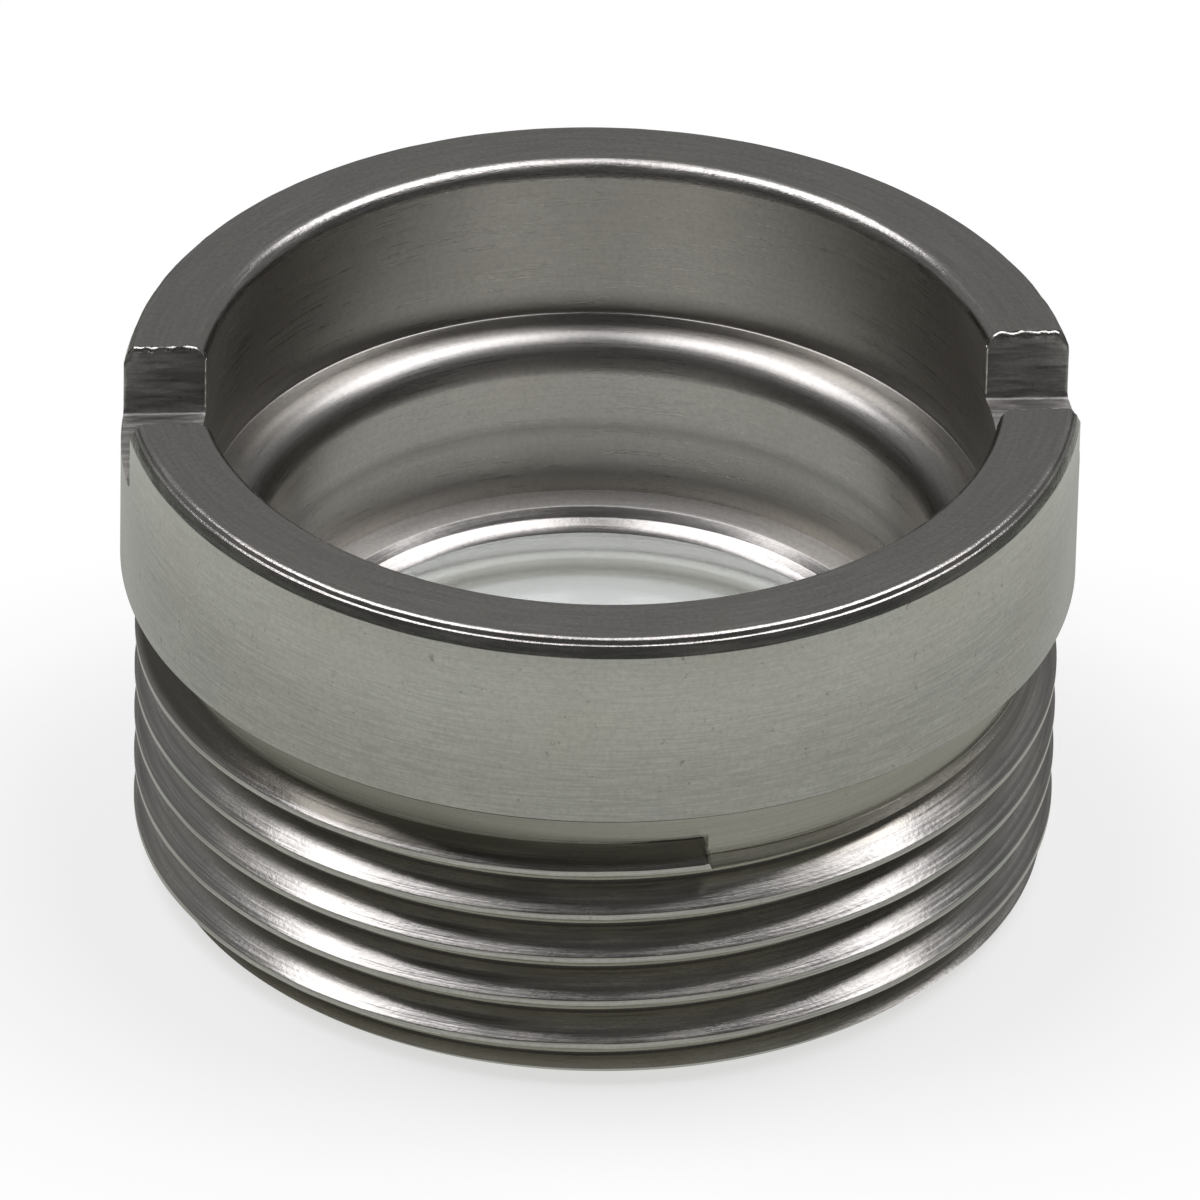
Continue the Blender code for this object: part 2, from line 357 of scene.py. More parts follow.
def cell_outline(sizes):
    """Corners of the cell's section, from the rim's outer edge down and round to the bore."""
    top = CELL_HIGH.z
    head_r = CELL_HIGH.x
    underside = top - sizes.head_height
    thread_r = sizes.thread_diameter / 2
    neck_r = thread_r - sizes.relief_depth
    thread_top = underside - sizes.relief_width
    bore_r = sizes.bore_diameter / 2
    ledge = top - sizes.bore_depth
    lower_r = sizes.lower_bore_diameter / 2
    flange_top = top - sizes.lower_bore_depth
    seat = flange_top - FLANGE_THICKNESS
    hole_r = sizes.aperture_diameter / 2
    pocket_r = LENS_HIGH.x + POCKET_CLEARANCE
    rounds = []
    outline = rim_facets(head_r - RIM_RADIAL, top, head_r)
    for corner in outline:
        rounds.append((corner, RIM_ROUND, 3))
    shoulder_r = head_r - UNDER_BREAK
    seat_r = shoulder_r - SEAT_SHARE * (shoulder_r - neck_r)
    outline += [
        (head_r, underside + UNDER_BREAK),
        (shoulder_r, underside),
        (seat_r, underside),
        (seat_r - SHOULDER_UNDERCUT, underside + SHOULDER_UNDERCUT),
        (neck_r, underside + SHOULDER_UNDERCUT),
        (neck_r, thread_top + RIDGE_AT_NECK),
        (thread_r, thread_top + RIDGE_AT_CREST),
        (thread_r, sizes.end_chamfer),
        (thread_r - sizes.end_chamfer, 0.0),
        (pocket_r + POCKET_CHAMFER, 0.0),
        (pocket_r, POCKET_CHAMFER),
        (pocket_r, seat),
        (hole_r + LIP_UNDERCUT, seat),
    ]
    rounds += [
        ((head_r, underside + UNDER_BREAK), BREAK_ROUND, 3),
        ((shoulder_r, underside), BREAK_ROUND, 3),
        ((neck_r, underside + SHOULDER_UNDERCUT), NECK_ROUND, 4),
        ((neck_r, thread_top + RIDGE_AT_NECK), RIDGE_NECK_ROUND, 2),
        ((thread_r, thread_top + RIDGE_AT_CREST), RIDGE_CREST_ROUND, 2),
        ((thread_r, sizes.end_chamfer), END_ROUND, 3),
        ((thread_r - sizes.end_chamfer, 0.0), END_ROUND, 3),
    ]
    edge_r = hole_r + THROAT_EDGE_RADIAL
    cone_r = edge_r + THROAT_CONE_RADIAL
    cone_z = flange_top - THROAT_CHAMFER
    edge_z = cone_z - THROAT_CONE_AXIAL
    throat = [
        (hole_r, edge_z - THROAT_EDGE_AXIAL),
        (edge_r, edge_z),
        (cone_r, cone_z),
        (cone_r + THROAT_CHAMFER, flange_top),
    ]
    for corner in throat:
        rounds.append((corner, THROAT_ROUND, 3))
    outline += throat
    outline += [
        (lower_r, flange_top),
        (lower_r, ledge),
        (bore_r, ledge),
        (bore_r, top),
    ]
    rounds += [
        ((lower_r, ledge), LEDGE_ROUND, 18),
        ((bore_r, ledge), BORE_CORNER_ROUND, 4),
        ((bore_r, top), RIM_INNER, 12),
    ]
    return outline, rounds


def wear_rim(obj):
    """Makes the rim's outer edge a little uneven."""
    top = CELL_HIGH.z
    edge_r = CELL_HIGH.x - RIM_RADIAL - RIM_ROUND
    for vert in obj.data.vertices:
        r = math.hypot(vert.co.x, vert.co.y)
        if r < edge_r or vert.co.z < top - RIM_AXIAL - RIM_ROUND:
            continue
        share = (top - vert.co.z) / RIM_AXIAL
        middle = max(0.0, 4 * share * (1 - share))
        flat = Vector((vert.co.x, vert.co.y, vert.co.z * 3))
        pull = wander(flat, 0.009 * MM, 0.55 * MM, 3.0) + wander(flat, 0.005 * MM, 0.22 * MM, 9.0)
        inward = -abs(pull) * (0.25 + middle)
        vert.co.x += vert.co.x / r * inward
        vert.co.y += vert.co.y / r * inward
        vert.co.z += inward * 0.8 * middle


def lower_shoulder(obj, sizes):
    """Past the thread's end the last ridge is gone, and the neck runs down to the shoulder."""
    thread_r = sizes.thread_diameter / 2
    neck_r = thread_r - sizes.relief_depth
    thread_top = CELL_HIGH.z - sizes.head_height - sizes.relief_width
    for vert in obj.data.vertices:
        r = math.hypot(vert.co.x, vert.co.y)
        height = vert.co.z - thread_top
        on_ridge = neck_r - MERGE_WITHIN < r < thread_r + MERGE_WITHIN
        if not on_ridge or not RIDGE_AT_CREST / 2 < height < RIDGE_AT_NECK * 1.15:
            continue
        turn = (math.atan2(vert.co.y, vert.co.x) - PULL_OUT_ANGLE) % FULL_TURN
        gone = min(1.0, max(0.0, (RIDGE_GAP - turn) / RIDGE_FADE))
        share = (thread_r - r) / sizes.relief_depth
        at_crest = RIDGE_AT_CREST + SHOULDER_FALL
        vert.co.z -= gone * (at_crest + share * (RIDGE_AT_NECK - RELIEF_SLOPE - at_crest))


def thread_cutter(sizes):
    """The thread's groove: a V with a flared mouth, screwed up the axis and lifted out at the end."""
    thread_r = sizes.thread_diameter / 2
    thread_top = CELL_HIGH.z - sizes.head_height - sizes.relief_width
    pitch = sizes.pitch
    depth = DEPTH_RATIO * pitch
    half_top = (1 - CREST_RATIO) * pitch / 2
    slope = math.tan(FLANK_ANGLE)
    half_root = half_top - depth * slope
    half_side = [
        (thread_r + TOOL_PROUD, TOOL_HALF),
        (thread_r, half_top + MOUTH_WIDEN),
        (thread_r - MOUTH_DEEP, half_top - MOUTH_DEEP * slope),
        (thread_r - depth, half_root),
    ]
    step = FULL_TURN / CELL_STEPS
    rise = pitch / FULL_TURN
    last = (round((GROOVE_TURNS * FULL_TURN + PULL_OUT_ANGLE) / step) + 0.5) * step
    run_in = (GROOVE_HEIGHT_AT_X + 2 * TOOL_HALF) / rise
    steps = math.ceil((last + run_in) / step)
    first = last - steps * step
    base = GROOVE_HEIGHT_AT_X + rise * first
    under = [(r, base - half) for r, half in half_side]
    over = [(r, base + half) for r, half in reversed(half_side)]
    outline = under + over
    rounds = [(under[-1], ROOT_ROUND, 3), (over[0], ROOT_ROUND, 3)]
    cutter = draw_outline("thread_tool", outline, rounds)
    bpy.ops.object.mode_set(mode="OBJECT")
    ring = len(cutter.data.vertices)
    select_only(cutter)
    screw = cutter.modifiers.new("turn", "SCREW")
    screw.axis = "Z"
    screw.angle = steps * step
    screw.screw_offset = rise * steps * step
    screw.steps = steps
    screw.render_steps = steps
    screw.use_merge_vertices = False
    bpy.ops.object.modifier_apply(modifier=screw.name)
    cutter.data.transform(Matrix.Rotation(first, 4, "Z"))
    rings = steps + 1
    lifts = dict(zip((rings - 2, rings - 1), LIFT_SHARES))
    for index, vert in enumerate(cutter.data.vertices):
        here = index // ring
        outwards = Vector((vert.co.x, vert.co.y, 0.0)).normalized()
        vert.co += outwards * depth * lifts.get(here, 0.0)
        if here > rings - CELL_STEPS:
            # Beside the neck the tool only just reaches its surface
            r = math.hypot(vert.co.x, vert.co.y)
            beside = min(1.0, max(0.0, (vert.co.z - thread_top) / RIDGE_AT_CREST))
            least = thread_r - depth + beside * (depth - sizes.relief_depth + NECK_SPARE)
            vert.co += outwards * max(0.0, least - r)
        near_mouth = math.hypot(vert.co.x, vert.co.y) > thread_r - 2 * MOUTH_DEEP
        if near_mouth and here < rings - 2:
            vert.co.z += wander(vert.co, 0.005 * MM, 0.33 * MM, 5.0)
    bpy.ops.object.mode_set(mode="EDIT")
    bpy.ops.mesh.select_all(action="SELECT")
    bpy.ops.mesh.fill_holes(sides=0)
    bpy.ops.mesh.select_all(action="SELECT")
    bpy.ops.mesh.normals_make_consistent(inside=False)
    bpy.ops.object.mode_set(mode="OBJECT")
    return cutter


def part_neck(obj, sizes):
    """Keeps the neck's shading apart from the groove that runs out beside it."""
    neck_r = sizes.thread_diameter / 2 - sizes.relief_depth
    thread_top = CELL_HIGH.z - sizes.head_height - sizes.relief_width
    shape = bmesh.new()
    shape.from_mesh(obj.data)
    on_neck = set()
    for face in shape.faces:
        if all(abs(math.hypot(vert.co.x, vert.co.y) - neck_r) < NECK_SPARE / 2 for vert in face.verts):
            on_neck.add(face)
    for edge in shape.edges:
        sides = [face in on_neck for face in edge.link_faces]
        low = (edge.verts[0].co.z + edge.verts[1].co.z) / 2 < thread_top + RIDGE_AT_NECK * 1.6
        if low and any(sides) and not all(sides):
            edge.smooth = False
    shape.to_mesh(obj.data)
    shape.free()


def rim_drop(r, sizes):
    """How far the rim's surface lies under its top face, at a radius."""
    bore_r = sizes.bore_diameter / 2
    outer_from = CELL_HIGH.x - RIM_RADIAL
    if r < bore_r + RIM_INNER:
        across = min(RIM_INNER, bore_r + RIM_INNER - r)
        return RIM_INNER - math.sqrt(max(0.0, RIM_INNER ** 2 - across ** 2))
    if r > outer_from:
        return min(1.0, (r - outer_from) / RIM_RADIAL) * RIM_AXIAL
    return 0.0


def slot_cutter(name, side, sizes):
    """A bar across the rim with rounded corners at its floor and a lip that follows the rim's edges."""
    top = CELL_HIGH.z
    half = sizes.slot_width / 2
    floor = top - sizes.slot_depth
    lip = []
    for step in range(LIP_STEPS + 1):
        angle = math.pi - step / LIP_STEPS * LIP_SWEEP
        across = half + SLOT_LIP + SLOT_LIP * math.cos(angle)
        lip.append((across, top - SLOT_LIP * LIP_DROP + SLOT_LIP * math.sin(angle)))
    for over in OVER_TOP:
        lip.append((half + SLOT_LIP * LIP_REACH, top + over))
    wall_from = floor + SLOT_CORNER * 1.3
    wall_high = lip[0][1] - wall_from
    wall = [(half, wall_from + wall_high * row / SLOT_ROWS) for row in range(SLOT_ROWS)] + lip
    section = [(-y, z) for y, z in reversed(wall)] + [(-half, floor), (half, floor)] + wall
    rounds = [((-half, floor), SLOT_CORNER, 4), ((half, floor), SLOT_CORNER, 4)]
    cutter = draw_outline(name, section, rounds)
    bpy.ops.mesh.select_all(action="SELECT")
    bpy.ops.mesh.edge_face_add()
    here = SLOT_FROM
    for reach, about in SLOT_RUNS_MM:
        cuts = round((reach * MM - here) / (about * MM))
        run = (reach * MM - here) / cuts
        for _ in range(cuts):
            bpy.ops.mesh.extrude_region_move(TRANSFORM_OT_translate={"value": (0.0, run, 0.0)})
        here = reach * MM
    bpy.ops.object.mode_set(mode="OBJECT")
    cutter.data.transform(Matrix.Rotation(-side * math.pi / 2, 4, "Z"))
    cutter.data.transform(Matrix.Translation((side * SLOT_FROM, 0.0, 0.0)))
    lip_from = top - SLOT_LIP * 1.2
    for vert in cutter.data.vertices:
        r = math.hypot(vert.co.x, half)
        facing = math.copysign(1.0, vert.co.y)
        flare = FAR_FLARE if facing > 0 else NEAR_FLARE
        inner_gap = max(0.0, sizes.bore_diameter / 2 + flare - r)
        outer_gap = max(0.0, r - CELL_HIGH.x + flare)
        gap = min(flare, max(inner_gap, outer_gap))
        widen = flare - math.sqrt(flare ** 2 - gap ** 2)
        if abs(vert.co.y) > half - 0.001 * MM:
            row = Vector((vert.co.x, 0.0, vert.co.z * 7))
            ragged = 0.012 * MM if gap > 0 else 0.005 * MM
            vert.co.y += facing * (widen + wander(row, ragged, 0.30 * MM, 2.0 + facing + side))
        up_wall = min(1.0, max(0.0, (vert.co.z - wall_from) / wall_high))
        if lip_from < vert.co.z < top + 0.02 * MM:
            along = Vector((vert.co.x, 0.0, 0.0))
            vert.co.y += facing * wander(along, 0.030 * MM, 0.11 * MM, 7.0 + facing + side)
            vert.co.z += wander(along, 0.024 * MM, 0.08 * MM, 11.0 + facing + side)
        elif vert.co.z < floor + SLOT_CORNER * 1.2:
            vert.co.z += wander(vert.co, 0.0015 * MM, 0.30 * MM, 4.0)
        vert.co.z -= rim_drop(r, sizes) * up_wall
    select_only(cutter)
    bpy.ops.object.mode_set(mode="EDIT")
    bpy.ops.mesh.select_all(action="SELECT")
    bpy.ops.mesh.normals_make_consistent(inside=False)
    bpy.ops.object.mode_set(mode="OBJECT")
    return cutter


def sag(r, radius, conic=0.0, fourth=0.0):
    """Depth of an aspheric surface below its vertex."""
    curvature = 1 / radius
    root = math.sqrt(1 - (1 + conic) * (curvature * r) ** 2)
    return curvature * r ** 2 / (1 + root) + fourth * r ** 4


def new_material(name):
    """A fresh material with its output and main shader."""
    made = bpy.data.materials.new(name)
    made.use_nodes = True
    tree = made.node_tree
    return made, tree, tree.nodes["Principled BSDF"]


def node(tree, kind, inputs=None, **settings):
    """One node with its settings, and its inputs as values or links."""
    made = tree.nodes.new(kind)
    for key, value in settings.items():
        setattr(made, key, value)
    for key, value in (inputs or {}).items():
        if isinstance(value, bpy.types.NodeSocket):
            tree.links.new(value, made.inputs[key])
        else:
            made.inputs[key].default_value = value
    return made


def maths(tree, operation, *values):
    return node(tree, "ShaderNodeMath", dict(enumerate(values)), operation=operation).outputs[0]


def place_in_mm(tree):
    """The point on the piece in millimetres: x, y, z, the radius and the whole vector."""
    coords = node(tree, "ShaderNodeTexCoord")
    scaled = node(tree, "ShaderNodeMapping", {
        "Vector": coords.outputs["Object"], "Scale": (1000, 1000, 1000)})
    parts = node(tree, "ShaderNodeSeparateXYZ", {"Vector": scaled.outputs[0]})
    x, y, z = parts.outputs
    flat = node(tree, "ShaderNodeCombineXYZ", {"X": x, "Y": y})
    radius = node(tree, "ShaderNodeVectorMath", {0: flat.outputs[0]}, operation="LENGTH")
    return x, y, z, radius.outputs["Value"], scaled.outputs[0]


def noise_of(tree, vector, scale=1.0, detail=2.0, roughness=0.5, w=None):
    settings = {"Vector": vector, "Scale": scale, "Detail": detail, "Roughness": roughness}
    if w is not None:
        settings["W"] = w
    made = node(tree, "ShaderNodeTexNoise", settings, noise_dimensions="3D" if w is None else "4D")
    return made.outputs["Fac"]


def turned_lines(tree, place, around, across, detail=3.0):
    """Streaks that run round the axis, on a band and on a faced ring alike."""
    x, y, z, radius, _ = place
    along = maths(tree, "MULTIPLY", maths(tree, "ADD", z, radius), across)
    vector = node(tree, "ShaderNodeCombineXYZ", {
        "X": maths(tree, "MULTIPLY", x, around), "Y": maths(tree, "MULTIPLY", y, around), "Z": along})
    return noise_of(tree, vector.outputs[0], detail=detail, roughness=0.6)


def helix_lines(tree, place, around, across, inward, pitch_mm, detail=3.0):
    """Streaks that run along the thread's helix without a seam, and change from crest to root."""
    x, y, z, radius, _ = place
    turn = maths(tree, "ARCTAN2", y, x)
    phase = maths(tree, "SUBTRACT", maths(tree, "MULTIPLY", z, FULL_TURN / pitch_mm), turn)
    rise = maths(tree, "MULTIPLY", maths(tree, "COSINE", phase), across)
    vector = node(tree, "ShaderNodeCombineXYZ", {
        "X": maths(tree, "MULTIPLY", x, around), "Y": maths(tree, "MULTIPLY", y, around),
        "Z": maths(tree, "ADD", rise, maths(tree, "MULTIPLY", radius, inward))})
    w = maths(tree, "MULTIPLY", maths(tree, "SINE", phase), across)
    return noise_of(tree, vector.outputs[0], detail=detail, roughness=0.6, w=w)


def painted_shade_behind_ridge(tree, place, pitch_mm):
    """Amount of painted shade above the standing ridge: full beside the thread's end, fading behind it."""
    x, y, z, _, _ = place
    from_end = maths(tree, "SUBTRACT", maths(tree, "ARCTAN2", y, x), PULL_OUT_ANGLE)
    turn = maths(tree, "FRACT", maths(tree, "ADD", maths(tree, "DIVIDE", from_end, FULL_TURN), 1.0))
    left = maths(tree, "MULTIPLY", maths(tree, "SUBTRACT", 1.0, turn), pitch_mm)
    above = maths(tree, "SUBTRACT", maths(tree, "ADD", z, left), RIDGE_LIP_MM)
    gap = RIDGE_GAP / FULL_TURN
    here = maths(tree, "MULTIPLY", ramp(tree, above, 0.005, 0.045), ramp(tree, turn, gap - 0.20, gap))
    ends_at = ramp(tree, turn, 0.90, 0.99, 0.36, 0.19)
    on_neck = ramp(tree, turn, 0.90, 0.99, 0.42, 0.0)
    return maths(tree, "MULTIPLY", here, ramp(tree, above, 0.14, ends_at, 0.95, on_neck))


def painted_reflection_rings(tree, place):
    """Amount of a darker tone in rings round the bore, painted reflections as the photograph shows them."""
    painted_darkness = 0.0
    for middle, half, amount in PAINTED_REFLECTION_RINGS_MM:
        away = maths(tree, "ABSOLUTE", maths(tree, "SUBTRACT", place[2], middle))
        painted_darkness = maths(tree, "ADD", ramp(tree, away, half, 0.0, 0.0, amount), painted_darkness)
    return painted_darkness


def milled_lines(tree, place, across):
    """Streaks along the slots."""
    x, y, z, _, _ = place
    vector = node(tree, "ShaderNodeCombineXYZ", {
        "X": maths(tree, "MULTIPLY", x, 2.8), "Y": maths(tree, "MULTIPLY", y, across),
        "Z": maths(tree, "MULTIPLY", z, across)})
    return noise_of(tree, vector.outputs[0], detail=3.0, roughness=0.6)


def ramp(tree, value, low, high, to_low=0.0, to_high=1.0):
    made = node(tree, "ShaderNodeMapRange", {
        "Value": value, "From Min": low, "From Max": high, "To Min": to_low, "To Max": to_high})
    return made.outputs["Result"]


def mix(tree, factor, first, second):
    made = tree.nodes.new("ShaderNodeMix")
    made.data_type = "RGBA"
    for key, value in (("Factor", factor), ("A", first), ("B", second)):
        found = [s for s in made.inputs if s.name == key and (key == "Factor" or s.type == "RGBA")]
        if isinstance(value, bpy.types.NodeSocket):
            tree.links.new(value, found[0])
        else:
            found[0].default_value = value
    return [s for s in made.outputs if s.type == "RGBA"][0]


def shade(colour, amount):
    return tuple(channel * amount for channel in colour) + (1.0,)


def steel_surface(name, colour, lines, rough, bump_um, contrast=0.10, specks=0.0, along_x=False,
                  grain_um=0.35, root_shade=None, painted_dark=None):
    """Bright steel with tool lines and a fine grain in its colour, its roughness and its relief.

    The darkening towards the thread's roots is painted shade, given as a colour with the two radii
    in millimetres between which it sets in. The last argument says how far painted shade and
    painted reflections darken the steel at a place.
    """
    made, tree, shader = new_material(name)
    place = place_in_mm(tree)
    streak = lines(tree, place)
    cloud = noise_of(tree, place[4], scale=0.9, detail=3.0)
    grain = noise_of(tree, place[4], scale=20.0, detail=3.0, roughness=0.7)
    dull, bright = shade(colour, 1 - contrast), shade(colour, 1 + contrast * 0.5)
    warmer = (colour[0], colour[1] * 0.96, colour[2] * 0.88, 1.0)
    tone = mix(tree, ramp(tree, streak, 0.30, 0.70), dull, bright)
    tone = mix(tree, ramp(tree, cloud, 0.40, 0.75, 0.0, 0.30), tone, warmer)
    tone = mix(tree, ramp(tree, grain, 0.42, 0.70, 0.0, 0.55), tone, shade(colour, 0.72))
    # Painted shade: the steel darkens deeper in the thread, towards its roots
    if root_shade:
        shaded, unshaded_r, shaded_r = root_shade
        depth = ramp(tree, place[3], unshaded_r, shaded_r, 0.0, 0.92)
        tone = mix(tree, depth, tone, (*shaded, 1.0))
    # Painted shade and painted reflections darken the steel where the given amount says
    if painted_dark:
        tone = mix(tree, painted_dark(tree, place), tone, shade(root_shade[0] if root_shade else colour, 0.42))
    if specks > 0:
        spots = noise_of(tree, place[4], scale=11.0, detail=4.0, roughness=0.65)
        dark = ramp(tree, spots, 0.64, 0.72, 0.0, specks)
        tone = mix(tree, dark, tone, shade(colour, 0.30))
    tree.links.new(tone, shader.inputs["Base Color"])
    shader.inputs["Metallic"].default_value = 1.0
    low, high = rough
    uneven = maths(tree, "ADD", maths(tree, "MULTIPLY", streak, 0.7), maths(tree, "MULTIPLY", cloud, 0.3))
    tree.links.new(ramp(tree, uneven, 0.32, 0.68, low, high), shader.inputs["Roughness"])
    shader.inputs["Anisotropic"].default_value = 0.35
    shader.inputs["Anisotropic Rotation"].default_value = 0.25
    if along_x:
        tangent = node(tree, "ShaderNodeCombineXYZ", {"X": 1.0})
    else:
        axis = (0.0, 0.0, 1.0)
        tangent = node(tree, "ShaderNodeVectorMath", {0: axis, 1: place[4]}, operation="CROSS_PRODUCT")
    tangent = node(tree, "ShaderNodeVectorMath", {0: tangent.outputs[0]}, operation="NORMALIZE")
    tree.links.new(tangent.outputs[0], shader.inputs["Tangent"])
    height = maths(tree, "ADD", streak, maths(tree, "MULTIPLY", grain, grain_um / bump_um))
    relief = node(tree, "ShaderNodeBump", {"Height": height, "Distance": bump_um * 1e-6, "Strength": 1.0})
    tree.links.new(relief.outputs[0], shader.inputs["Normal"])
    return made


def assign(obj, materials, kind_of):
    """Gives each face the material of its region, through the slots."""
    obj.data.materials.clear()
    for made in materials:
        obj.data.materials.append(made)
    select_only(obj)
    bpy.ops.object.mode_set(mode="EDIT")
    bpy.ops.mesh.select_mode(type="FACE")
    for index in range(1, len(materials)):
        shape = bmesh.from_edit_mesh(obj.data)
        for face in shape.faces:
            face.select_set(kind_of(face) == index)
        bmesh.update_edit_mesh(obj.data)
        obj.active_material_index = index
        bpy.ops.object.material_slot_assign()
    bpy.ops.mesh.select_all(action="DESELECT")
    bpy.ops.mesh.select_mode(type="VERT")
    bpy.ops.object.mode_set(mode="OBJECT")


class MOUNTED_LENS_OT_add_cell(bpy.types.Operator):
    """Turns the steel cell, cuts its thread and mills its two spanner slots"""

    bl_idname = "mounted_lens.add_cell"
    bl_label = "Lens Cell"
    bl_options = {"REGISTER", "UNDO"}

    def execute(self, context):
        sizes = context.scene.mounted_lens_cell
        outline, rounds = cell_outline(sizes)
        cell = draw_outline("lens_cell_turned", outline, rounds)
        turn_outline(cell, CELL_STEPS)
        wear_rim(cell)
        lower_shoulder(cell, sizes)
        carve(cell, thread_cutter(sizes))
        for name, side in (("slot_tool_right", 1), ("slot_tool_left", -1)):
            carve(cell, slot_cutter(name, side, sizes))
        steel = tuple(sizes.steel)
        # Colour of the painted shade deep in the thread; the end face takes it too
        root_shade = tuple(sizes.painted_root_shade)
        pitch_mm = sizes.pitch / MM
        thread_mm = sizes.thread_diameter / 2 / MM
        finishes = [
            steel_surface("steel_faced", shade(steel, 0.90)[:3], lambda t, p: turned_lines(t, p, 1.2, 30.0),
                          (0.18, 0.28), 0.30),
            steel_surface("steel_band", shade(steel, 0.96)[:3], lambda t, p: turned_lines(t, p, 2.2, 42.0),
                          (0.15, 0.26), 0.35, contrast=0.20, specks=0.55),
            # Painted shade: the bore's steel is set a little darker than the rest, and warmer
            steel_surface("steel_bored", (0.56, 0.54, 0.50), lambda t, p: turned_lines(t, p, 0.9, 34.0),
                          (0.25, 0.34), 0.20, grain_um=0.22, painted_dark=painted_reflection_rings),
            steel_surface("steel_milled", (0.50, 0.49, 0.49), lambda t, p: milled_lines(t, p, 19.0),
                          (0.32, 0.48), 5.0, contrast=0.55, specks=0.5, along_x=True, grain_um=5.0),
            # Painted light: the thread's steel is set lighter than the rest, to strengthen its highlights
            steel_surface("steel_thread", shade(steel, 1.12)[:3],
                          lambda t, p: helix_lines(t, p, 0.6, 3.0, 5.0, pitch_mm), (0.12, 0.34),
                          1.8, contrast=0.45, specks=0.30, grain_um=1.4,
                          root_shade=(root_shade, thread_mm - 0.13, thread_mm - 0.28),
                          painted_dark=lambda t, p: painted_shade_behind_ridge(t, p, pitch_mm)),
            steel_surface("steel_end", root_shade, lambda t, p: turned_lines(t, p, 0.8, 22.0), (0.22, 0.34), 0.3),
            steel_surface("steel_slot_floor", steel, lambda t, p: milled_lines(t, p, 19.0), (0.34, 0.50), 4.0,
                          contrast=0.35, along_x=True, grain_um=3.0),
            steel_surface("steel_edge", steel, lambda t, p: turned_lines(t, p, 1.6, 30.0), (0.20, 0.34), 1.2,
                          contrast=0.25, grain_um=4.0),
            # Painted shade: the lip's steel is set darker, to dim the throat ring's highlight
            steel_surface("steel_lip", shade(steel, 0.80)[:3], lambda t, p: turned_lines(t, p, 1.0, 30.0),
                          (0.20, 0.30), 0.4, grain_um=0.8),
            # Painted light: the pocket's steel is set far lighter than the rest, so the glass over it looks
            # pale
            steel_surface("steel_pocket", (0.86, 0.86, 0.84), lambda t, p: turned_lines(t, p, 1.0, 24.0),
                          (0.06, 0.14), 0.2, grain_um=0.2),
            # Painted light: the flange's steel is set lighter than the rest
            steel_surface("steel_flange", shade(steel, 1.25)[:3], lambda t, p: turned_lines(t, p, 1.0, 30.0),
                          (0.50, 0.58), 0.3, grain_um=0.6),
            # Painted shade: the ledge's steel is set darker, to dim its highlight
            steel_surface("steel_ledge", (0.48, 0.47, 0.45), lambda t, p: turned_lines(t, p, 0.9, 34.0),
                          (0.25, 0.34), 0.5, grain_um=1.2),
        ]
        top = CELL_HIGH.z
        head_r = CELL_HIGH.x
        bore_r = sizes.bore_diameter / 2
        thread_r = sizes.thread_diameter / 2
        underside = top - sizes.head_height
        ledge = top - sizes.bore_depth
        flange_top = top - sizes.lower_bore_depth

        def kind_of(face):
            place = face.calc_center_median()
            r = math.hypot(place.x, place.y)
            outward = (face.normal.x * place.x + face.normal.y * place.y) / max(r, 1e-9)
            between = abs(place.y) < sizes.slot_width / 2 + 0.02 * MM
            in_slot = between and place.z > top - sizes.slot_depth - 0.02 * MM
            if in_slot and bore_r - 0.1 * MM < r < head_r + 0.1 * MM and abs(face.normal.x) < 0.5:
                if place.z < top - SLOT_LIP:
                    return SLOT_FLOOR if face.normal.z > 0.8 else MILLED
            if outward > 0.9 and r > head_r - 0.01 * MM and place.z < top - RIM_AXIAL * 0.9:
                return BAND
            if place.z > top - RIM_AXIAL * 1.05 and r > bore_r - 0.01 * MM:
                on_edge = r > head_r - RIM_RADIAL - RIM_ROUND or abs(face.normal.y) > 0.3
                return EDGE if on_edge else FACED
            if flange_top - 0.2 * MM < place.z < flange_top + 0.001 * MM and outward < 0.2:
                return LIP if place.z < flange_top - 0.012 * MM else FLANGE
            if r < bore_r + 0.02 * MM and place.z > flange_top:
                return LEDGE if place.z < ledge + 0.025 * MM and face.normal.z > 0.10 else BORED
            if 0.001 * MM < place.z < underside + 0.032 * MM and r > thread_r - 0.33 * MM:
                return THREADED
            if r < LENS_HIGH.x + 0.05 * MM:
                return POCKET
            if place.z < 0.001 * MM or r < LENS_HIGH.x + 0.15 * MM:
                return END
            return FACED

        assign(cell, finishes, kind_of)
        part_neck(cell, sizes)
        dress(cell, "lens_cell")
        return {"FINISHED"}


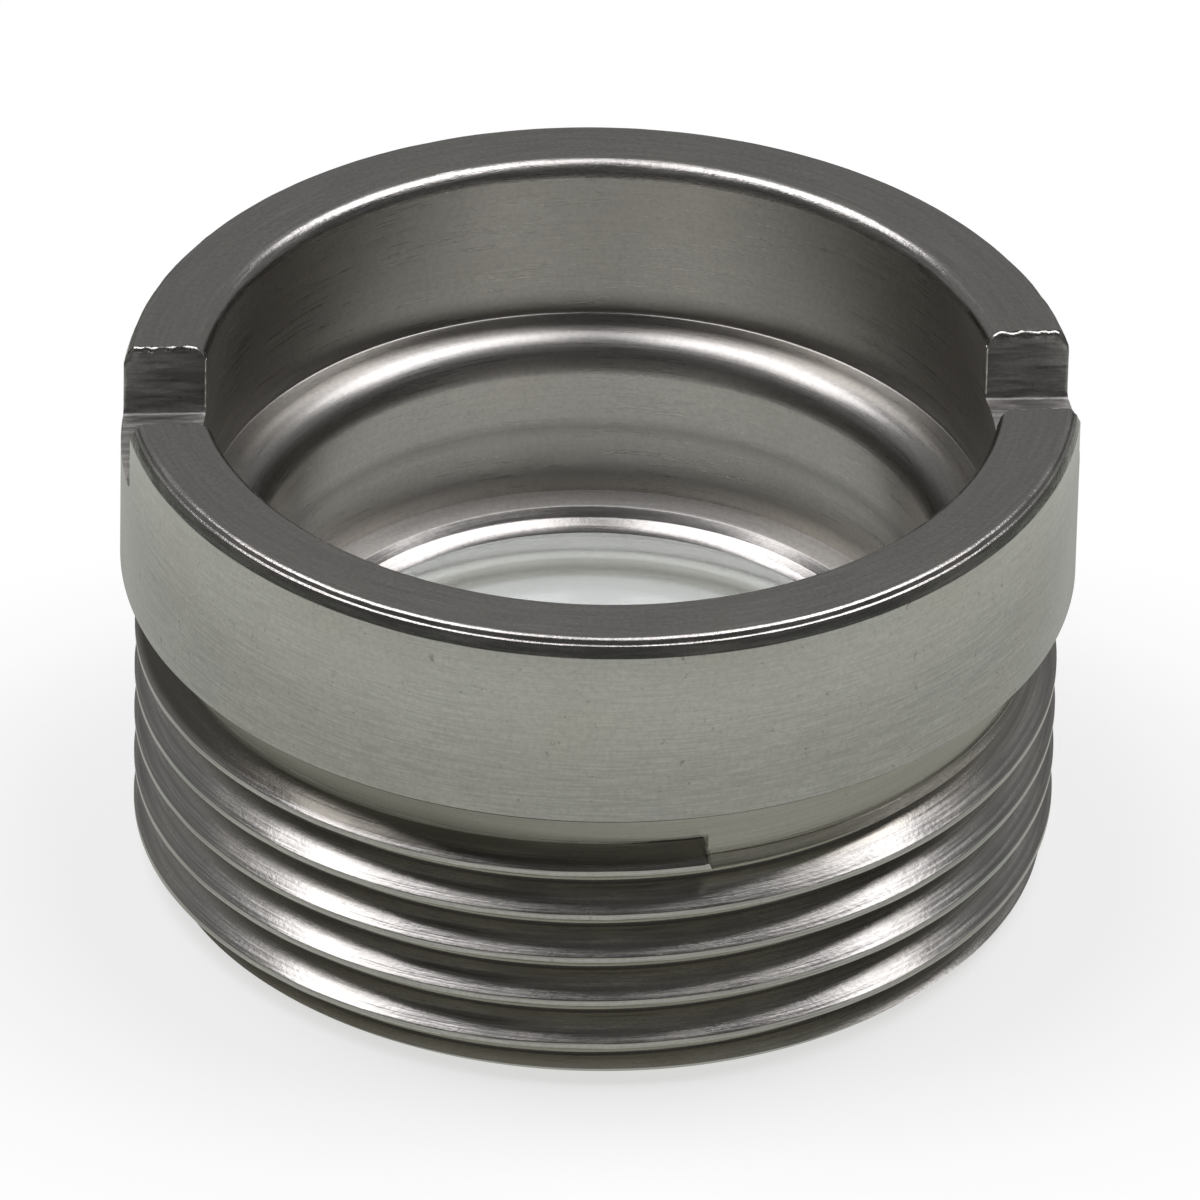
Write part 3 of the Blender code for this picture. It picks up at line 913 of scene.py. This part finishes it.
class MOUNTED_LENS_OT_add_lens(bpy.types.Operator):
    """Moulds the aspheric lens with its chamfered edge"""

    bl_idname = "mounted_lens.add_lens"
    bl_label = "Aspheric Lens"
    bl_options = {"REGISTER", "UNDO"}

    def execute(self, context):
        sizes = context.scene.mounted_lens_glass
        edge_r = LENS_HIGH.x
        optic_r = sizes.optic_diameter / 2
        lower_face = (sizes.lower_radius, sizes.lower_conic, LOWER_FOURTH)
        upper = LENS_HIGH.z - sag(optic_r, sizes.upper_radius)
        lower = LENS_LOW.z + sag(optic_r, *lower_face)
        radii = [optic_r * step / OPTIC_STEPS for step in range(OPTIC_STEPS + 1)]
        above = [(r, LENS_HIGH.z - sag(r, sizes.upper_radius)) for r in radii]
        below = [(r, LENS_LOW.z + sag(r, *lower_face)) for r in reversed(radii)]
        edge = [
            (edge_r - sizes.lens_chamfer, upper),
            (edge_r, upper - sizes.lens_chamfer),
            (edge_r, lower + sizes.lens_chamfer),
            (edge_r - sizes.lens_chamfer, lower),
        ]
        lens = draw_outline("aspheric_lens_moulded", above + edge + below)
        turn_outline(lens, LENS_STEPS)
        made, tree, shader = new_material("optical_glass")
        place = place_in_mm(tree)
        shader.inputs["Transmission Weight"].default_value = 1.0
        shader.inputs["IOR"].default_value = 1.59
        dust = noise_of(tree, place[4], scale=7.0, detail=5.0, roughness=0.7)
        dusty = ramp(tree, dust, 0.60, 0.80, 0.0, 0.25)
        tint = mix(tree, dusty, shade(sizes.glass, 1.0), shade(sizes.glass, 0.90))
        tree.links.new(tint, shader.inputs["Base Color"])
        tree.links.new(ramp(tree, dust, 0.45, 0.85, 0.22, 0.28), shader.inputs["Roughness"])
        shader.inputs["Coat Weight"].default_value = 1.0
        shader.inputs["Coat Roughness"].default_value = 0.01
        lens.data.materials.append(made)
        dress(lens, "aspheric_lens")
        return {"FINISHED"}


class MOUNTED_LENS_OT_add_bead(bpy.types.Operator):
    """Lays the adhesive bead between the lens and its pocket"""

    bl_idname = "mounted_lens.add_bead"
    bl_label = "Adhesive Bead"
    bl_options = {"REGISTER", "UNDO"}

    def execute(self, context):
        sizes = context.scene.mounted_lens_glass
        outer = BEAD_HIGH.x
        top = BEAD_HIGH.z
        bottom = BEAD_LOW.z
        inner = outer - BEAD_WIDTH
        face = []
        for step in range(BEAD_STEPS + 1):
            angle = step / BEAD_STEPS * math.pi / 2
            r = inner + (outer - inner - BEAD_TIP) * math.cos(angle)
            face.append((r, bottom + (top - bottom - BEAD_TIP) * math.sin(angle)))
        bead = draw_outline("adhesive_bead_laid", [(outer, top), (outer, bottom)] + face + [(inner, top)])
        turn_outline(bead, LENS_STEPS)
        for vert in bead.data.vertices:
            r = math.hypot(vert.co.x, vert.co.y)
            share = min(1.0, max(0.0, (outer - r) / (outer - inner)))
            pull = share * abs(wander(vert.co, 0.03 * MM, 1.1 * MM, 6.0))
            vert.co.x += vert.co.x / r * pull
            vert.co.y += vert.co.y / r * pull
        made, tree, shader = new_material("optical_adhesive")
        place = place_in_mm(tree)
        cloud = noise_of(tree, place[4], scale=2.2, detail=4.0)
        tint = mix(tree, ramp(tree, cloud, 0.35, 0.70), shade(sizes.resin, 0.95), shade(sizes.resin, 1.0))
        shader.inputs["Transmission Weight"].default_value = 1.0
        shader.inputs["IOR"].default_value = 1.20
        tree.links.new(tint, shader.inputs["Base Color"])
        tree.links.new(ramp(tree, cloud, 0.3, 0.7, 0.05, 0.16), shader.inputs["Roughness"])
        relief = node(tree, "ShaderNodeBump", {"Height": cloud, "Distance": 4e-6})
        tree.links.new(relief.outputs[0], shader.inputs["Normal"])
        bead.data.materials.append(made)
        dress(bead, "adhesive_bead")
        return {"FINISHED"}


class MOUNTED_LENS_OT_add_studio(bpy.types.Operator):
    """Sets the pale floor, the two soft boxes, the world and the camera"""

    bl_idname = "mounted_lens.add_studio"
    bl_label = "Studio"
    bl_options = {"REGISTER", "UNDO"}

    def execute(self, context):
        studio = context.scene.mounted_lens_studio
        self.add_floor(studio)
        self.add_lamps(studio)
        self.add_world(context)
        self.add_camera(context, studio)
        context.scene.view_settings.view_transform = "Standard"
        return {"FINISHED"}

    def add_floor(self, studio):
        """A wide pale floor: white to the camera, a grey card in the steel, a paler one in the glass."""
        bpy.ops.object.select_all(action="DESELECT")
        bpy.ops.mesh.primitive_circle_add(
            vertices=96, radius=FLOOR_RADIUS, fill_type="NGON", location=(0, 0, -FLOOR_GAP))
        floor = bpy.context.object
        floor.name = "studio_floor"
        bpy.ops.object.transform_apply(location=True, rotation=False, scale=False)
        made, tree, shader = new_material("pale_floor")
        tree.nodes.remove(shader)
        place = place_in_mm(tree)
        rays = node(tree, "ShaderNodeLightPath")
        paint = node(tree, "ShaderNodeBsdfDiffuse", {"Color": (0.52, 0.52, 0.52, 1.0)})
        glow = node(tree, "ShaderNodeEmission", {"Color": (1.0, 1.0, 1.0, 1.0), "Strength": 0.62})
        seen = node(tree, "ShaderNodeAddShader", {0: paint.outputs[0], 1: glow.outputs[0]})
        # Painted light and painted shadow: the card glows fully out to 13 mm and fades to a tenth by 22 mm, a
        # painted pool of light, and is dimmed to 0.74 within 9 mm of the axis, a painted shadow of the cell
        painted_pool_and_shadow = maths(tree, "MULTIPLY", ramp(tree, place[3], 13.0, 22.0, 1.0, 0.10),
                     ramp(tree, place[3], 9.0, 10.7, 0.74, 1.0))
        to_camera = rays.outputs["Is Camera Ray"]
        through = rays.outputs["Is Transmission Ray"]
        colour = mix(tree, through, (*studio.card, 1.0), (*studio.card_through, 1.0))
        card = node(tree, "ShaderNodeEmission", {"Color": colour, "Strength": painted_pool_and_shadow})
        mirrored = maths(tree, "MAXIMUM", rays.outputs["Is Glossy Ray"], through)
        other = node(tree, "ShaderNodeMixShader", {0: mirrored, 1: paint.outputs[0], 2: card.outputs[0]})
        whole = node(tree, "ShaderNodeMixShader", {0: to_camera, 1: other.outputs[0], 2: seen.outputs[0]})
        tree.links.new(whole.outputs[0], tree.nodes["Material Output"].inputs["Surface"])
        floor.data.materials.append(made)

    def add_lamps(self, studio):
        """Two soft boxes high over the head, with a dark gap between them."""
        for name, side in (("soft_box_left", -1), ("soft_box_right", 1)):
            towards = Vector((side * 0.40, 0.10, 0.91)).normalized()
            turned = towards.to_track_quat("Z", "Y").to_euler()
            bpy.ops.object.light_add(type="AREA", location=towards * LAMP_DISTANCE, rotation=turned)
            lamp = bpy.context.object
            lamp.name = name
            lamp.data.shape = "RECTANGLE"
            lamp.data.size = 0.16
            lamp.data.size_y = 0.21
            lamp.data.color = (0.985, 0.965, 1.0)
            lamp.data.energy = studio.lamp_power

    def add_world(self, context):
        """White to the camera, and a dim room that is paler at the back in the reflections."""
        world = bpy.data.worlds.new("studio_room")
        world.use_nodes = True
        context.scene.world = world
        tree = world.node_tree
        background = tree.nodes["Background"]
        rays = node(tree, "ShaderNodeLightPath")
        coords = node(tree, "ShaderNodeTexCoord")
        parts = node(tree, "ShaderNodeSeparateXYZ", {"Vector": coords.outputs["Generated"]})
        backwards = ramp(tree, parts.outputs["Y"], -0.3, 0.5)
        room = mix(tree, backwards, (0.06, 0.06, 0.06, 1.0), (0.21, 0.21, 0.21, 1.0))
        tint = mix(tree, rays.outputs["Is Camera Ray"], room, (1.0, 1.0, 1.0, 1.0))
        tree.links.new(tint, background.inputs["Color"])
        background.inputs["Strength"].default_value = 1.0

    def add_camera(self, context, studio):
        """A long lens at the angle of the photograph."""
        e, a = studio.elevation, studio.azimuth
        back = Vector((math.sin(a) * math.cos(e), -math.cos(a) * math.cos(e), math.sin(e)))
        target = Vector(CAMERA_TARGET_MM) * MM
        turned = (-back).to_track_quat("-Z", "Y") @ Quaternion((0.0, 0.0, 1.0), studio.roll)
        bpy.ops.object.camera_add(location=target + back * studio.distance, rotation=turned.to_euler())
        camera = bpy.context.object
        camera.name = "studio_camera"
        camera.data.sensor_width = 36.0
        camera.data.lens = CAMERA_FOCAL_MM
        camera.data.clip_start = 0.01
        camera.data.clip_end = 20.0
        context.scene.camera = camera


class MOUNTED_LENS_PT_panel(bpy.types.Panel):
    """Lists the steps that build the mounted lens"""

    bl_idname = "MOUNTED_LENS_PT_panel"
    bl_label = "Mounted Aspheric Lens"
    bl_space_type = "VIEW_3D"
    bl_region_type = "UI"
    bl_category = "Mounted Lens"

    def draw(self, context):
        layout = self.layout
        for step in STEPS:
            layout.operator(step.bl_idname)
        for group in (context.scene.mounted_lens_cell, context.scene.mounted_lens_glass,
                      context.scene.mounted_lens_studio):
            box = layout.box()
            for name in group.__annotations__:
                box.prop(group, name)


STEPS = (
    MOUNTED_LENS_OT_add_cell,
    MOUNTED_LENS_OT_add_lens,
    MOUNTED_LENS_OT_add_bead,
    MOUNTED_LENS_OT_add_studio,
)
CLASSES = (MountedLensCellSizes, MountedLensGlassSizes, MountedLensStudio) + STEPS + (MOUNTED_LENS_PT_panel,)


def register():
    for made in CLASSES:
        bpy.utils.register_class(made)
    bpy.types.Scene.mounted_lens_cell = PointerProperty(type=MountedLensCellSizes)
    bpy.types.Scene.mounted_lens_glass = PointerProperty(type=MountedLensGlassSizes)
    bpy.types.Scene.mounted_lens_studio = PointerProperty(type=MountedLensStudio)


def unregister():
    del bpy.types.Scene.mounted_lens_cell
    del bpy.types.Scene.mounted_lens_glass
    del bpy.types.Scene.mounted_lens_studio
    for made in reversed(CLASSES):
        bpy.utils.unregister_class(made)


def main():
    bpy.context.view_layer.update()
    register()
    bpy.ops.mounted_lens.add_cell()
    bpy.ops.mounted_lens.add_lens()
    bpy.ops.mounted_lens.add_bead()
    bpy.ops.mounted_lens.add_studio()


if __name__ == "__main__":
    main()
